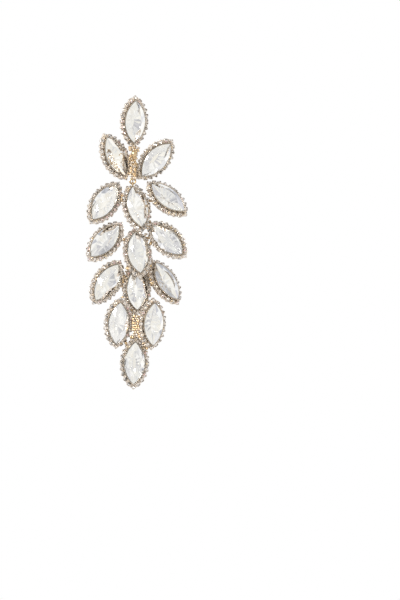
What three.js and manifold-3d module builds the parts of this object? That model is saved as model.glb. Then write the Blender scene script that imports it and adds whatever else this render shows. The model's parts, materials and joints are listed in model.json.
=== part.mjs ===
// Chandelier earring: fifteen leaves, each a long pointed crystal in a metal cup with a ring of
// small stones round it. Three leaves form the stud on the ear, twelve hang from it as one drop.
// Millimetres, +Z up, the front faces -Y. The origin is where the ear post leaves its pad.
import * as THREE from 'three';
import { mergeVertices } from 'three/addons/utils/BufferGeometryUtils.js';
import Module from 'manifold-3d';

const wasm = await Module();
wasm.setup();

// Crystal
const STONE_LENGTH = 14.8;
const STONE_WIDTH = 7.15;
const CROWN_HEIGHT = 1.3;
const GIRDLE_HEIGHT = 0.3;
const PAVILION_HEIGHT = 1.7;
const TABLE_SHARE = 0.52;
const KEEL_SHARE = 0.3;
const STONE_SIDES = 6;

// Cup that holds the crystal, with the flange that carries the stone ring
const SEAT_GAP = 0.1;
const RIM_WALL = 0.14;
const RIM_LIP = 0.05;
const SEAT_DEPTH = 0.45;
const FLOOR_INSET = 1.3;
const FOOT_INSET = 0.75;
const FLANGE_THICKNESS = 0.6;
const FLANGE_REACH = 0.85;

// Ring of small stones
const RING_GAP = 0.1;
const SMALL_CUP = 1.44;
const SMALL_CUP_HEIGHT = 1.2;
const SMALL_STONE_HEIGHT = 0.45;
const SMALL_TABLE_SHARE = 0.6;
const CUPS_A_SIDE = 9;
const CUP_SHARE = 0.74;
const LINK_NARROWING = 0.22;
const LINK_DROP = 0.45;
const LIFT = 0.3;

// Wires, with the sides that their round sections and rings are made of
const WIRE = 0.9;
const WIRE_SIDES = 6;
const SPINE_WIRE = 1.15;
const SPINE_SIDES = 8;
const FINE_SIDES = 5;
const EYE_SIDES = 10;
const RING_SIDES = 14;
const ROUND_SIDES = 16;
const SPINE_BEHIND = 2.8;
const SPINE_TOP_SHARE = 0.6;
const STEM_TOP_SHARE = -0.8;

// Stem between the two lower stud leaves with the column on its front, and the strip of the drop
const STEM_WIDTH = 1.3;
const STEM_FRONT = 2.4;
const STEM_X = 0;
const COLUMN_LEFT = -0.85;
const COLUMN_RIGHT_TOP = 1.7;
const COLUMN_RIGHT_BOTTOM = 0.2;
const COLUMN_NARROWS_AT = 0.45;
const COLUMN_DEPTH = 0.9;
const COLUMN_BELOW = 0.8;
const LINK_WIDTH = 1.2;
const LINK_FRONT = 0.5;
const LINK_X = 0.68;
const STRIP_WIDTH = 1.6;
const STRIP_DEPTH = 0.9;

// Neck, post and pad
const EYE_WIRE = 0.42;
const EYE_GAP = 0.2;
const RING_WIRE = 0.44;
const POST_DIAMETER = 0.9;
const POST_LENGTH = 11;
const PAD_DIAMETER = 4;
const PAD_THICKNESS = 1;
const SOCKET_DEPTH = 1;
const POST_GAP = 0.1;
const PIECE_GAP = 0.3;

// Heights in a leaf: zero is the middle of the leaf, plus is towards the viewer
const FLANGE_BACK = -1.8;
const FLANGE_TOP = FLANGE_BACK + FLANGE_THICKNESS;
const RING_BACK = FLANGE_TOP + LIFT;
const RING_TOP = RING_BACK + SMALL_CUP_HEIGHT;
const STONE_CLEAR = 0.45;
const GIRDLE_TOP = RING_TOP + SMALL_STONE_HEIGHT + STONE_CLEAR + GIRDLE_HEIGHT;
const RIM_TOP = GIRDLE_TOP + RIM_LIP;

// A leaf's outline is two equal arcs that meet in a point at each end
const HALF_LENGTH = STONE_LENGTH / 2;
const HALF_WIDTH = STONE_WIDTH / 2;
const ARC_RADIUS = (HALF_LENGTH ** 2 + HALF_WIDTH ** 2) / (2 * HALF_WIDTH);
const ARC_CENTRE = ARC_RADIUS - HALF_WIDTH;
const RING_MIDDLE = RING_GAP + SMALL_CUP / 2;
const RING_OUTSIDE = RING_GAP + SMALL_CUP;
const LEAF_LENGTH = 2 * Math.sqrt((ARC_RADIUS + RING_OUTSIDE) ** 2 - ARC_CENTRE ** 2);
const LEAF_WIDTH = STONE_WIDTH + 2 * RING_OUTSIDE;

// The leaves. x is a share of the leaf's width, z of its length, from the middle of the top leaf.
// lean turns the upper point to the right, turn brings the left edge forward and tilt the lower
// point, in degrees. depth is a share of the leaf's half height, plus towards the viewer.
// open leaves a gap in the stone ring at the upper point, for an eye.
const LEAVES = [
  { name: 'stud_top', body: 'stud', x: 0, z: 0, lean: 0, turn: 18, tilt: -8, depth: 0 },
  { name: 'stud_left', body: 'stud', x: -0.65, z: -0.662, lean: -31, turn: 22, tilt: -12, depth: 0 },
  { name: 'stud_right', body: 'stud', x: 0.73, z: -0.71, lean: 41, turn: 16, tilt: 0, depth: 0 },
  { name: 'row1_left', body: 'drop', x: -1.01, z: -1.529, lean: 34, turn: -3, tilt: 12, depth: 0 },
  {
    name: 'row1_middle', body: 'drop', x: 0.08, z: -1.614, lean: -10, turn: 18, tilt: 10, depth: 0,
    open: true,
  },
  { name: 'row1_right', body: 'drop', x: 1.12, z: -1.452, lean: -47, turn: 28, tilt: 6, depth: 0 },
  { name: 'row2_left', body: 'drop', x: -0.99, z: -2.259, lean: 39, turn: -12, tilt: 10, depth: 0 },
  { name: 'row2_middle', body: 'drop', x: 0.11, z: -2.474, lean: -6, turn: 10, tilt: 12, depth: 0.1 },
  { name: 'row2_right', body: 'drop', x: 1.14, z: -2.23, lean: -48, turn: -3, tilt: 12, depth: -0.2 },
  { name: 'row3_left', body: 'drop', x: -0.94, z: -3.021, lean: 33, turn: 10, tilt: 3, depth: -0.2 },
  { name: 'row3_middle', body: 'drop', x: 0.08, z: -3.156, lean: 0, turn: 8, tilt: 8, depth: -0.97 },
  { name: 'row3_right', body: 'drop', x: 1.05, z: -3.018, lean: -31, turn: 33, tilt: 0, depth: -1.27 },
  { name: 'row4_left', body: 'drop', x: -0.54, z: -3.787, lean: 5, turn: 6, tilt: -9, depth: 0.55 },
  { name: 'row4_right', body: 'drop', x: 0.62, z: -3.803, lean: 0, turn: 25, tilt: -6, depth: 0.5 },
  { name: 'bottom', body: 'drop', x: 0.01, z: -4.545, lean: 3, turn: 2, tilt: 4, depth: 0 },
];

// The wires from side leaves to the stem or to the back wire. along is a share of the crystal's
// half length, plus towards the upper point.
const ARMS = [
  { leaf: 'stud_left', along: -0.45 },
  { leaf: 'stud_right', along: -0.45 },
  { leaf: 'row1_left', along: 0.2 },
  { leaf: 'row1_right', along: 0 },
  { leaf: 'row2_left', along: 0.2 },
  { leaf: 'row2_right', along: 0.2 },
  { leaf: 'row3_left', along: 0.3 },
  { leaf: 'row3_right', along: -0.1 },
  { leaf: 'row4_left', along: 0 },
  { leaf: 'row4_right', along: 0 },
];

const CRYSTAL_LOOK = { color: 0xe9e7ea, roughness: 0.05, metalness: 0 };
const SMALL_STONE_LOOK = { color: 0x8a6f5e, roughness: 0.25, metalness: 0.6 };
const GOLD_LOOK = { color: 0xb07a35, roughness: 0.3, metalness: 1 };

const rad = (degrees) => (degrees * Math.PI) / 180;

// A mesh from corner points and faces, each face a list of corner numbers turning left seen from outside
function solidGeometry(corners, faces) {
  const index = [];
  for (const face of faces) {
    for (let i = 1; i < face.length - 1; i += 1) index.push(face[0], face[i], face[i + 1]);
  }
  const geometry = new THREE.BufferGeometry();
  geometry.setAttribute('position', new THREE.Float32BufferAttribute(corners.flat(), 3));
  geometry.setIndex(index);
  return geometry;
}

// Points of a pointed oval with the given half length and half width, from the upper point
// down its right side and up its left side
function ovalPoints(halfLength, halfWidth, sides) {
  const radius = (halfLength ** 2 + halfWidth ** 2) / (2 * halfWidth);
  const reach = Math.asin(halfLength / radius);
  const points = [];
  for (let i = 0; i < sides; i += 1) {
    const angle = reach - (2 * reach * i) / sides;
    points.push([radius * Math.cos(angle) - (radius - halfWidth), radius * Math.sin(angle)]);
  }
  return points.concat(points.map(([across, along]) => [-across, -along]));
}

// The crystal's outline moved outwards by a distance
function offsetOval(distance, sides) {
  const halfLength = Math.sqrt((ARC_RADIUS + distance) ** 2 - ARC_CENTRE ** 2);
  return ovalPoints(halfLength, HALF_WIDTH + distance, sides);
}

// A closed solid through outlines with equally many points, the first and last capped.
// Each section is an outline with its height; heights point to the viewer, which is -Y.
function loft(sections) {
  const corners = [];
  const faces = [];
  const count = sections[0].outline.length;
  for (const { outline, height } of sections) {
    for (const [across, along] of outline) corners.push([across, -height, along]);
  }
  for (let s = 0; s < sections.length - 1; s += 1) {
    for (let i = 0; i < count; i += 1) {
      const next = (i + 1) % count;
      const low = s * count;
      const high = low + count;
      faces.push([low + next, low + i, high + i, high + next]);
    }
  }
  const last = (sections.length - 1) * count;
  faces.push([...Array(count).keys()]);
  faces.push([...Array(count).keys()].reverse().map((i) => last + i));
  return solidGeometry(corners, faces);
}

function crystalGeometry() {
  const oval = (share) => ovalPoints(HALF_LENGTH * share, HALF_WIDTH * share, STONE_SIDES);
  const keel = ovalPoints(HALF_LENGTH * KEEL_SHARE * 2, HALF_WIDTH * KEEL_SHARE, STONE_SIDES);
  const girdle = GIRDLE_TOP - GIRDLE_HEIGHT;
  return loft([
    { outline: keel, height: girdle - PAVILION_HEIGHT },
    { outline: oval(1), height: girdle },
    { outline: oval(1), height: GIRDLE_TOP },
    { outline: oval(TABLE_SHARE), height: GIRDLE_TOP + CROWN_HEIGHT },
  ]);
}

// The metal of one leaf: a flange with a cup on it, open to the front for the crystal
function cupGeometry() {
  const inner = SEAT_GAP;
  const outer = SEAT_GAP + RIM_WALL;
  const section = (distance, height) => ({ outline: offsetOval(distance, STONE_SIDES), height });
  return loft([
    section(FLANGE_REACH, FLANGE_BACK),
    section(FLANGE_REACH, FLANGE_TOP),
    section(-FOOT_INSET, FLANGE_TOP),
    section(outer, RIM_TOP),
    section(inner, RIM_TOP),
    section(inner, RIM_TOP - SEAT_DEPTH),
    section(-FLOOR_INSET, FLANGE_TOP + PIECE_GAP),
  ]);
}

// The stone ring: small square cups along the leaf's outline, a narrower link between two cups,
// and on each cup a small cut stone with a table and a facet for each corner and edge of its base
function stoneRingGeometry(open) {
  const radius = ARC_RADIUS + RING_MIDDLE;
  const reach = Math.acos(ARC_CENTRE / radius);
  const pitch = (2 * reach) / (CUPS_A_SIDE + 1);
  const halfCup = (pitch * CUP_SHARE) / 2;
  const corners = [];
  const faces = [];

  // Four corners of the ring's section: inner back, outer back, outer front, inner front
  const station = (side, angle, spread, drop) => {
    const at = (distance, height) => {
      const across = (radius + distance) * Math.cos(angle) - ARC_CENTRE;
      corners.push([side * Math.max(across, 0), -height, side * (radius + distance) * Math.sin(angle)]);
    };
    const half = SMALL_CUP / 2 - spread;
    at(-half, RING_BACK);
    at(half, RING_BACK);
    at(half, RING_TOP - drop);
    at(-half, RING_TOP - drop);
    return corners.length - 4;
  };
  // The section on the axis, at a point of the leaf
  const pointStation = (end) => {
    const tip = (distance) => end * Math.sqrt((radius + distance) ** 2 - ARC_CENTRE ** 2);
    const half = SMALL_CUP / 2;
    corners.push([0, -RING_BACK, tip(-half)], [0, -RING_BACK, tip(half)]);
    corners.push([0, -RING_TOP, tip(half)], [0, -RING_TOP, tip(-half)]);
    return corners.length - 4;
  };
  const band = (a, b, withTop) => {
    faces.push([a, a + 1, b + 1, b], [a + 1, a + 2, b + 2, b + 1], [a + 3, a, b, b + 3]);
    if (withTop) faces.push([a + 2, a + 3, b + 3, b + 2]);
  };
  const stone = (base) => {
    const middle = [0, 0, 0];
    for (const corner of base) corners[corner].forEach((v, i) => { middle[i] += v / base.length; });
    const first = corners.length;
    base.forEach((corner, i) => {
      const other = corners[base[(i + 1) % base.length]];
      const edge = corners[corner].map((v, k) => (v + other[k]) / 2);
      const share = SMALL_TABLE_SHARE * Math.SQRT2;
      corners.push([
        middle[0] + (edge[0] - middle[0]) * share,
        -(RING_TOP + SMALL_STONE_HEIGHT),
        middle[2] + (edge[2] - middle[2]) * share,
      ]);
    });
    base.forEach((corner, i) => {
      const next = (i + 1) % base.length;
      faces.push([corner, base[next], first + i]);
      faces.push([base[next], first + next, first + i]);
    });
    faces.push(base.map((corner, i) => first + i));
  };

  const stations = [];
  for (const side of [1, -1]) {
    if (!(open && side === 1)) stations.push({ at: pointStation(side), cup: 'point' });
    if (!(open && side === 1)) stations.push({ at: station(side, reach - halfCup, 0, 0), cup: 'point' });
    for (let i = 1; i <= CUPS_A_SIDE; i += 1) {
      const middle = reach - i * pitch;
      if (!(open && side === 1 && i === 1)) {
        stations.push({ at: station(side, middle + pitch / 2, LINK_NARROWING, LINK_DROP) });
      }
      stations.push({ at: station(side, middle + halfCup, 0, 0), cup: 'start' });
      stations.push({ at: station(side, middle - halfCup, 0, 0), cup: 'end' });
    }
    if (!(open && side === -1)) {
      stations.push({ at: station(side, -reach + pitch / 2, LINK_NARROWING, LINK_DROP) });
      stations.push({ at: station(side, -reach + halfCup, 0, 0), cup: 'point' });
    }
  }
  const count = stations.length;
  for (let i = 0; i < count; i += 1) {
    const a = stations[i];
    const b = stations[(i + 1) % count];
    if (open && i === count - 1) {
      faces.push([a.at, a.at + 1, a.at + 2, a.at + 3], [b.at + 3, b.at + 2, b.at + 1, b.at]);
    } else {
      const onCup = (a.cup === 'start' && b.cup === 'end') || (a.cup === 'point' && b.cup === 'point');
      band(a.at, b.at, !onCup);
    }
  }
  for (let i = 0; i < count; i += 1) {
    const a = stations[i];
    const b = stations[(i + 1) % count];
    if (a.cup === 'start' && b.cup === 'end') stone([b.at + 3, b.at + 2, a.at + 2, a.at + 3]);
    const before = stations[(i + count - 1) % count];
    if (a.cup === 'point' && before.cup === 'point' && b.cup === 'point') {
      const rim = [a.at + 3, b.at + 3, b.at + 2, a.at + 2, before.at + 2, before.at + 3];
      stone(rim);
    }
  }
  return solidGeometry(corners, faces);
}

// A leaf's place: turned and tilted in itself, then leaned and moved
function leafMatrix(leaf) {
  const lean = new THREE.Matrix4().makeRotationY(rad(leaf.lean));
  const turn = new THREE.Matrix4().makeRotationZ(rad(leaf.turn));
  const tilt = new THREE.Matrix4().makeRotationX(rad(-leaf.tilt));
  const place = new THREE.Matrix4().makeTranslation(
    leaf.x * LEAF_WIDTH,
    leaf.depth * FLANGE_BACK,
    leaf.z * LEAF_LENGTH,
  );
  return place.multiply(lean).multiply(turn).multiply(tilt);
}

const toSolid = (geometry) => {
  const bare = geometry.clone();
  bare.deleteAttribute('normal');
  bare.deleteAttribute('uv');
  const merged = mergeVertices(bare, 1e-4);
  const mesh = new wasm.Mesh({
    numProp: 3,
    vertProperties: new Float32Array(merged.attributes.position.array),
    triVerts: new Uint32Array(merged.index.array),
  });
  return new wasm.Manifold(mesh);
};

const toGeometry = (solid) => {
  const { vertProperties, triVerts } = solid.getMesh();
  const geometry = new THREE.BufferGeometry();
  geometry.setAttribute('position', new THREE.BufferAttribute(vertProperties, 3));
  geometry.setIndex(new THREE.BufferAttribute(triVerts, 1));
  return geometry;
};

const union = (geometries) => toGeometry(geometries.map(toSolid).reduce((all, one) => all.add(one)));

// A straight round wire between two points
function wire(from, to, diameter = WIRE, sides = WIRE_SIDES) {
  const line = new THREE.Vector3().subVectors(to, from);
  const geometry = new THREE.CylinderGeometry(diameter / 2, diameter / 2, line.length(), sides);
  geometry.applyQuaternion(
    new THREE.Quaternion().setFromUnitVectors(new THREE.Vector3(0, 1, 0), line.clone().normalize()),
  );
  const middle = new THREE.Vector3().addVectors(from, to).multiplyScalar(0.5);
  return geometry.translate(middle.x, middle.y, middle.z);
}

const leafPoint = (leaf, across, height, along) => (
  new THREE.Vector3(across, -height, along).applyMatrix4(leafMatrix(leaf))
);
const leafNamed = (name) => LEAVES.find((leaf) => leaf.name === name);
const box = (low, high) => {
  const size = new THREE.Vector3().subVectors(high, low);
  const middle = new THREE.Vector3().addVectors(low, high).multiplyScalar(0.5);
  return new THREE.BoxGeometry(size.x, size.y, size.z).translate(middle.x, middle.y, middle.z);
};

// The back wire lies in a plane of its own behind every stone ring
const FLANGE_MIDDLE = FLANGE_BACK + FLANGE_THICKNESS / 2;
const SPINE_Y = SPINE_BEHIND - FLANGE_BACK;
const PAD_BACK = -FLANGE_BACK + PAD_THICKNESS;

// The neck: an eye on the drop's first middle leaf, a ring through it and an eye under the stem
const EYE_RADIUS = RING_WIRE / 2 + EYE_GAP + EYE_WIRE / 2;
const EYE_OUTSIDE = EYE_RADIUS + EYE_WIRE / 2;
const NECK_RING_RADIUS = EYE_OUTSIDE + EYE_GAP / 2;
const neckLeaf = leafNamed('row1_middle');
const rimPoint = Math.sqrt((ARC_RADIUS + SEAT_GAP + RIM_WALL / 2) ** 2 - ARC_CENTRE ** 2);
const neckSeat = leafPoint(neckLeaf, 0, RIM_TOP - EYE_WIRE / 2, rimPoint);
const dropEye = neckSeat.clone().add(new THREE.Vector3(0, 0, EYE_RADIUS));
const hinge = dropEye.clone().add(new THREE.Vector3(0, 0, 2 * NECK_RING_RADIUS));

const eye = (at) => {
  const upright = new THREE.TorusGeometry(EYE_RADIUS, EYE_WIRE / 2, FINE_SIDES, EYE_SIDES);
  return upright.rotateY(Math.PI / 2).translate(at.x, at.y, at.z);
};

const placedCup = (leaf) => cupGeometry().applyMatrix4(leafMatrix(leaf));

// The back wire: a round section at each of its points, from the highest down
function spine(points) {
  const round = (x) => [...Array(SPINE_SIDES).keys()].map((i) => {
    const angle = (2 * Math.PI * i) / SPINE_SIDES;
    return [x + (SPINE_WIRE / 2) * Math.sin(angle), (SPINE_WIRE / 2) * Math.cos(angle) - SPINE_Y];
  });
  const sections = points.map((point) => ({ outline: round(point.x), height: -point.z }));
  return loft(sections).rotateX(Math.PI / 2);
}

// A wire from a leaf's flange straight back to the back wire's plane
function peg(leaf) {
  const seat = leafPoint(leaf, 0, FLANGE_MIDDLE, 0);
  return wire(seat, new THREE.Vector3(seat.x, SPINE_Y, seat.z));
}

// A wire from a side leaf's flange across to the back wire
function arm(leaf, share, spineX) {
  const seat = leafPoint(leaf, 0, FLANGE_MIDDLE, share * HALF_LENGTH);
  return wire(seat, new THREE.Vector3(spineX, SPINE_Y, seat.z));
}

function studFrameGeometry() {
  const top = leafNamed('stud_top');
  const half = STEM_WIDTH / 2;
  const stemTop = -LEAF_LENGTH / 2 - PIECE_GAP;
  const stemBottom = hinge.z + EYE_RADIUS;
  const stem = box(
    new THREE.Vector3(STEM_X - half, -STEM_FRONT - COLUMN_DEPTH / 2, stemBottom),
    new THREE.Vector3(STEM_X + half, SPINE_Y, stemTop),
  );
  const columnBottom = stemBottom - COLUMN_BELOW;
  const narrow = stemTop + (columnBottom - stemTop) * COLUMN_NARROWS_AT;
  const front = [
    [COLUMN_LEFT, stemTop],
    [COLUMN_RIGHT_TOP, stemTop],
    [COLUMN_RIGHT_BOTTOM, narrow],
    [COLUMN_RIGHT_BOTTOM, columnBottom],
    [COLUMN_LEFT, columnBottom],
  ];
  const column = loft([
    { outline: front, height: STEM_FRONT },
    { outline: front, height: STEM_FRONT + COLUMN_DEPTH },
  ]);
  const pad = wire(
    new THREE.Vector3(0, -FLANGE_BACK, 0),
    new THREE.Vector3(0, PAD_BACK, 0),
    PAD_DIAMETER,
    ROUND_SIDES,
  );
  const socket = wire(
    new THREE.Vector3(0, PAD_BACK - SOCKET_DEPTH, 0),
    new THREE.Vector3(0, PAD_BACK + PIECE_GAP, 0),
    POST_DIAMETER + 2 * POST_GAP,
    ROUND_SIDES,
  );
  const seat = leafPoint(top, 0, FLANGE_MIDDLE, STEM_TOP_SHARE * HALF_LENGTH);
  const arms = ARMS.filter(({ leaf }) => leafNamed(leaf).body === 'stud');
  const parts = [
    ...LEAVES.filter((leaf) => leaf.body === 'stud').map(placedCup),
    stem,
    column,
    pad,
    wire(seat, new THREE.Vector3(STEM_X, SPINE_Y, stemTop)),
    ...arms.map(({ leaf, along }) => arm(leafNamed(leaf), along, STEM_X)),
    eye(hinge),
  ];
  return toGeometry(toSolid(union(parts)).subtract(toSolid(socket)));
}

function dropFrameGeometry() {
  const leaves = LEAVES.filter((leaf) => leaf.body === 'drop');
  const middles = leaves.filter((leaf) => leaf.name.endsWith('middle') || leaf.name === 'bottom');
  const seats = middles.map((leaf) => leafPoint(leaf, 0, FLANGE_MIDDLE, 0));
  seats.unshift(leafPoint(neckLeaf, 0, FLANGE_MIDDLE, SPINE_TOP_SHARE * HALF_LENGTH));
  const onSpine = seats.map((seat) => new THREE.Vector3(seat.x, SPINE_Y, seat.z));
  const spineX = (z) => {
    const i = Math.max(1, onSpine.findIndex((p) => p.z < z));
    const [a, b] = [onSpine[i - 1], onSpine[i]];
    return a.x + ((b.x - a.x) * (z - a.z)) / (b.z - a.z);
  };
  const sideArm = ({ leaf, along }) => {
    const seat = leafPoint(leafNamed(leaf), 0, FLANGE_MIDDLE, along * HALF_LENGTH);
    return arm(leafNamed(leaf), along, spineX(seat.z));
  };
  const linkTop = leafPoint(leafNamed('row3_middle'), 0, 0, -LEAF_LENGTH / 2).z - PIECE_GAP;
  const linkBottom = leafPoint(leafNamed('bottom'), 0, 0, LEAF_LENGTH / 2).z + PIECE_GAP;
  const parts = [
    ...leaves.map(placedCup),
    ...middles.map(peg),
    spine(onSpine),
    ...ARMS.filter(({ leaf }) => leafNamed(leaf).body === 'drop').map(sideArm),
    eye(dropEye),
    box(
      new THREE.Vector3(LINK_X - LINK_WIDTH / 2, -LINK_FRONT - STRIP_DEPTH / 2, linkBottom),
      new THREE.Vector3(LINK_X + LINK_WIDTH / 2, SPINE_Y, linkTop),
    ),
    box(
      new THREE.Vector3(LINK_X - STRIP_WIDTH / 2, -LINK_FRONT - STRIP_DEPTH, linkBottom),
      new THREE.Vector3(LINK_X + STRIP_WIDTH / 2, -LINK_FRONT, linkTop),
    ),
  ];
  return union(parts);
}

const ringMatrix = new THREE.Matrix4().makeTranslation(hinge.x, hinge.y, (hinge.z + dropEye.z) / 2);

const earring = new THREE.Group();
earring.position.y = -PAD_BACK;

function addPiece(name, geometry, matrix, look) {
  const mesh = new THREE.Mesh(geometry, new THREE.MeshStandardMaterial(look));
  mesh.name = name;
  mesh.applyMatrix4(matrix);
  earring.add(mesh);
}

for (const leaf of LEAVES) {
  addPiece(`crystal_${leaf.name}`, crystalGeometry(), leafMatrix(leaf), CRYSTAL_LOOK);
  addPiece(`stones_${leaf.name}`, stoneRingGeometry(leaf.open), leafMatrix(leaf), SMALL_STONE_LOOK);
}
const postFrom = new THREE.Vector3(0, PAD_BACK - SOCKET_DEPTH + POST_GAP, 0);
const postTo = new THREE.Vector3(0, PAD_BACK + POST_LENGTH, 0);
addPiece('ear_post', wire(postFrom, postTo, POST_DIAMETER, ROUND_SIDES), new THREE.Matrix4(), GOLD_LOOK);
addPiece('stud_frame', studFrameGeometry(), new THREE.Matrix4(), GOLD_LOOK);
addPiece('drop_frame', dropFrameGeometry(), new THREE.Matrix4(), GOLD_LOOK);
addPiece(
  'neck_ring',
  new THREE.TorusGeometry(NECK_RING_RADIUS, RING_WIRE / 2, FINE_SIDES, RING_SIDES).rotateX(Math.PI / 2),
  ringMatrix,
  GOLD_LOOK,
);

export default earring;
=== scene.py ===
import json
import math
import random

import bpy
import numpy as np
from mathutils import Matrix, Vector


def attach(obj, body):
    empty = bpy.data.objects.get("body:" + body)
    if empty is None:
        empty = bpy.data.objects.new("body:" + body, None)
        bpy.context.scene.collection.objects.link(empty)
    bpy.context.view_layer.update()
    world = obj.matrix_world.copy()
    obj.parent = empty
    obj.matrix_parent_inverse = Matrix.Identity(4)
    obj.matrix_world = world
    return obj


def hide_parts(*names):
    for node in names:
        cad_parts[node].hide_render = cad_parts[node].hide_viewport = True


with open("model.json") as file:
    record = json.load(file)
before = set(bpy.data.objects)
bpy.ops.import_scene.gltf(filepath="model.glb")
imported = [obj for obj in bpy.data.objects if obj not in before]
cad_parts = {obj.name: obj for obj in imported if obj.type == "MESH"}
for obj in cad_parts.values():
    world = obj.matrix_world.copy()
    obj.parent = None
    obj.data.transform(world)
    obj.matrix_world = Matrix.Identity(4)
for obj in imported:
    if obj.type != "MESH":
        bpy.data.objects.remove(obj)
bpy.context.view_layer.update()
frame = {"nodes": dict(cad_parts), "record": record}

# Sizes are in metres. A leaf's own axes are x across, y back and z along, and its origin is the
# middle of the crystal's upper girdle edge, so a height above that edge is minus y.
MM = 0.001

# The photograph's frame: 400 by 600 pixels, with the middle of the top crystal at this pixel
PHOTO_WIDTH = 400
PHOTO_HEIGHT = 600
TOP_PIXEL = (134.3, 122)
PIXEL = 0.35 * MM
CAMERA_DISTANCE = 1.3
SENSOR = 36

# Crystal. Shares are of its length and width, of the crown's height or of the pavilion's depth.
MAINS = 8
GIRDLE_STEPS = 6
TABLE_SHARE = 0.56
BREAK_SHARE = 0.8
BREAK_HEIGHT = 0.5
GIRDLE = 0.3 * MM
PAVILION_MAINS = 12
KEEL_LENGTH_SHARE = 0.32
KEEL_WIDTH_SHARE = 0.16
PAVILION_SHARE = 0.8
PAVILION_BREAK = 0.55
PAVILION_BREAK_DEPTH = 0.62

# Ring of small stones: square cups in a row with claws and links, and one at each tip of the leaf.
# Bends and leans of a claw are in rises, and the lean of a stone is in radians.
RING_GAP = 0.1 * MM
CUPS_A_SIDE = 9
CUP_SHARE = 0.94
CUP_WALL = 0.13 * MM
CUP_FLOOR = 0.25 * MM
CUP_CORNER = 0.4 * MM
CUP_SPREAD = 0.06 * MM
CUP_EDGE = 0.03 * MM
CUP_FOOT_SHARE = 0.2
CLAW = 0.15 * MM
CLAW_RISE = 0.3 * MM
CLAW_SIDES = 6
CLAW_INSET = CUP_CORNER / 2
CLAW_BENDS_AT = -0.5
CLAW_LEAN = 0.8
SMALL_STONE_RISE = 0.45 * MM
SMALL_STONE_DEPTH = 0.75 * MM
SMALL_STONE_INSET = 0.6 * CUP_WALL
SMALL_STONE_SUNK = 0.02 * MM
SMALL_STONE_SIDES = 8
SMALL_TABLE_SHARE = 0.58
SMALL_BREAK_SHARE = 0.82
SMALL_BREAK_HEIGHT = 0.55
STONE_LEAN = 0.11
TIP_CUP = 0.9
TIP_CORNER = 0.18 * MM
TIP_INWARD = 0.1 * MM
LINK_WIDTH = 0.55 * MM
LINK_THICKNESS = 0.3 * MM
LINK_SHARE = 0.6
LINK_CORNER = 0.1 * MM
LINK_BACK = 0.35 * MM

# A claw's sections: how far in and how far back, in rises, and how thick, in claw radii
CLAW_STATIONS = [(0.0, 0.45, 1.0), (0.0, -0.35, 1.0), (0.3, -0.85, 0.9), (0.75, -1.05, 0.55)]

# Setting: the metal cup of a crystal, on a flange that carries the ring of stones. Distances are
# measured outwards from the crystal's edge.
SETTING_STEPS = 48
SEAT_GAP = 0.1 * MM
RIM_WALL = 0.14 * MM
RIM_LIP = 0.05 * MM
SEAT_DEPTH = 0.45 * MM
FOOT_INSET = 0.75 * MM
FLOOR_INSET = 1.3 * MM
FLANGE_REACH = 0.85 * MM
FLANGE_THICKNESS = 0.6 * MM
FLANGE_BELOW_RING = 0.3 * MM
FLANGE_EDGE = 0.12 * MM
PANEL_INSET = 0.5 * MM
PANEL_DEPTH = 0.12 * MM
LEAF_MIDDLE = 1.5 * MM

# Wires at the back, with a drop of solder where they end
WIRE = 0.9 * MM
WIRE_DROP = WIRE * 0.72
DROP_BACK = 0.1 * MM
SPINE_WIRE = 1.15 * MM
SPINE_SIDES = 16
SPINE_KNOT = SPINE_WIRE / 2 * 1.02
BACK_WIRE_Y = 1.8 * MM
SPINE_TOP_SHARE = 0.6
STEM_TOP_SHARE = -0.8

# Stem with the column on its front, the strip over the bottom leaf, the neck, pad and post
STEM_WIDTH = 1.3 * MM
STEM_FRONT_Y = -5.65 * MM
COLUMN_LEFT = -0.85 * MM
COLUMN_RIGHT_TOP = 1.7 * MM
COLUMN_RIGHT_BOTTOM = 0.2 * MM
COLUMN_NARROWS_AT = 0.45
COLUMN_FRONT_Y = -6.1 * MM
COLUMN_BACK_Y = -5.2 * MM
COLUMN_BELOW = 0.8 * MM
COLUMN_TOP_SPARE = 0.7 * MM
COLUMN_ROWS = 17
LINK_X = 0.68 * MM
LINK_BAR = 1.2 * MM
STRIP_WIDTH = 1.6 * MM
SHOULDER = 0.9 * MM
STRIP_FRONT_Y = -4.2 * MM
STRIP_BACK_Y = -3.3 * MM
STRIP_ROWS = 9
PIECE_GAP = 0.3 * MM
EYE_RADIUS = 0.63 * MM
EYE_WIRE = 0.56 * MM
NECK_RING_RADIUS = 0.94 * MM
RING_WIRE = 0.62 * MM
PAD_RADIUS = 2 * MM
PAD_THICKNESS = 1 * MM
PAD_STEPS = 40
PLATE_EDGE = 0.12 * MM
POST_RADIUS = 0.45 * MM
POST_LENGTH = 11 * MM
POST_SIDES = 24
DROP_OF_GOLD = (0.15 * MM, -6.3 * MM, -11.4 * MM)
DROP_OF_GOLD_SIZE = (0.9 * MM, 0.5 * MM, 1.1 * MM)

# The post's sections: shares of its radius, with depths at its foot and ways short of its end
POST_FOOT = [(0.98, -0.9 * MM), (1, -0.8 * MM)]
POST_TIP = [
    (1, 2.4 * MM), (0.84, 2.1 * MM), (0.84, 1.7 * MM), (1, 1.4 * MM), (1, 0.5 * MM), (0.8, 0.15 * MM),
    (0.35, 0),
]

# Grains: small balls of metal. Shifts are shares of a grain's radius, and across the row of its room.
GRAIN = 0.46 * MM
GRAIN_SIDES = 8
GRAIN_LEVELS = 5
GRAIN_PITCH = 1.6
GRAIN_STAGGER = 0.25
GRAIN_SHIFT_ACROSS = 0.2
GRAIN_SHIFT_ALONG = 0.3
GRAIN_SHIFT_FRONT = (-0.2, 0.5)
GRAIN_SIZES = (0.6, 1.1)
GRAIN_LEFT = 0.3 * MM
GRAIN_RIGHT = 0.5 * MM
STRIP_SPARE = 0.3 * MM
GOLD_SHARE = 0.55

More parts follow.
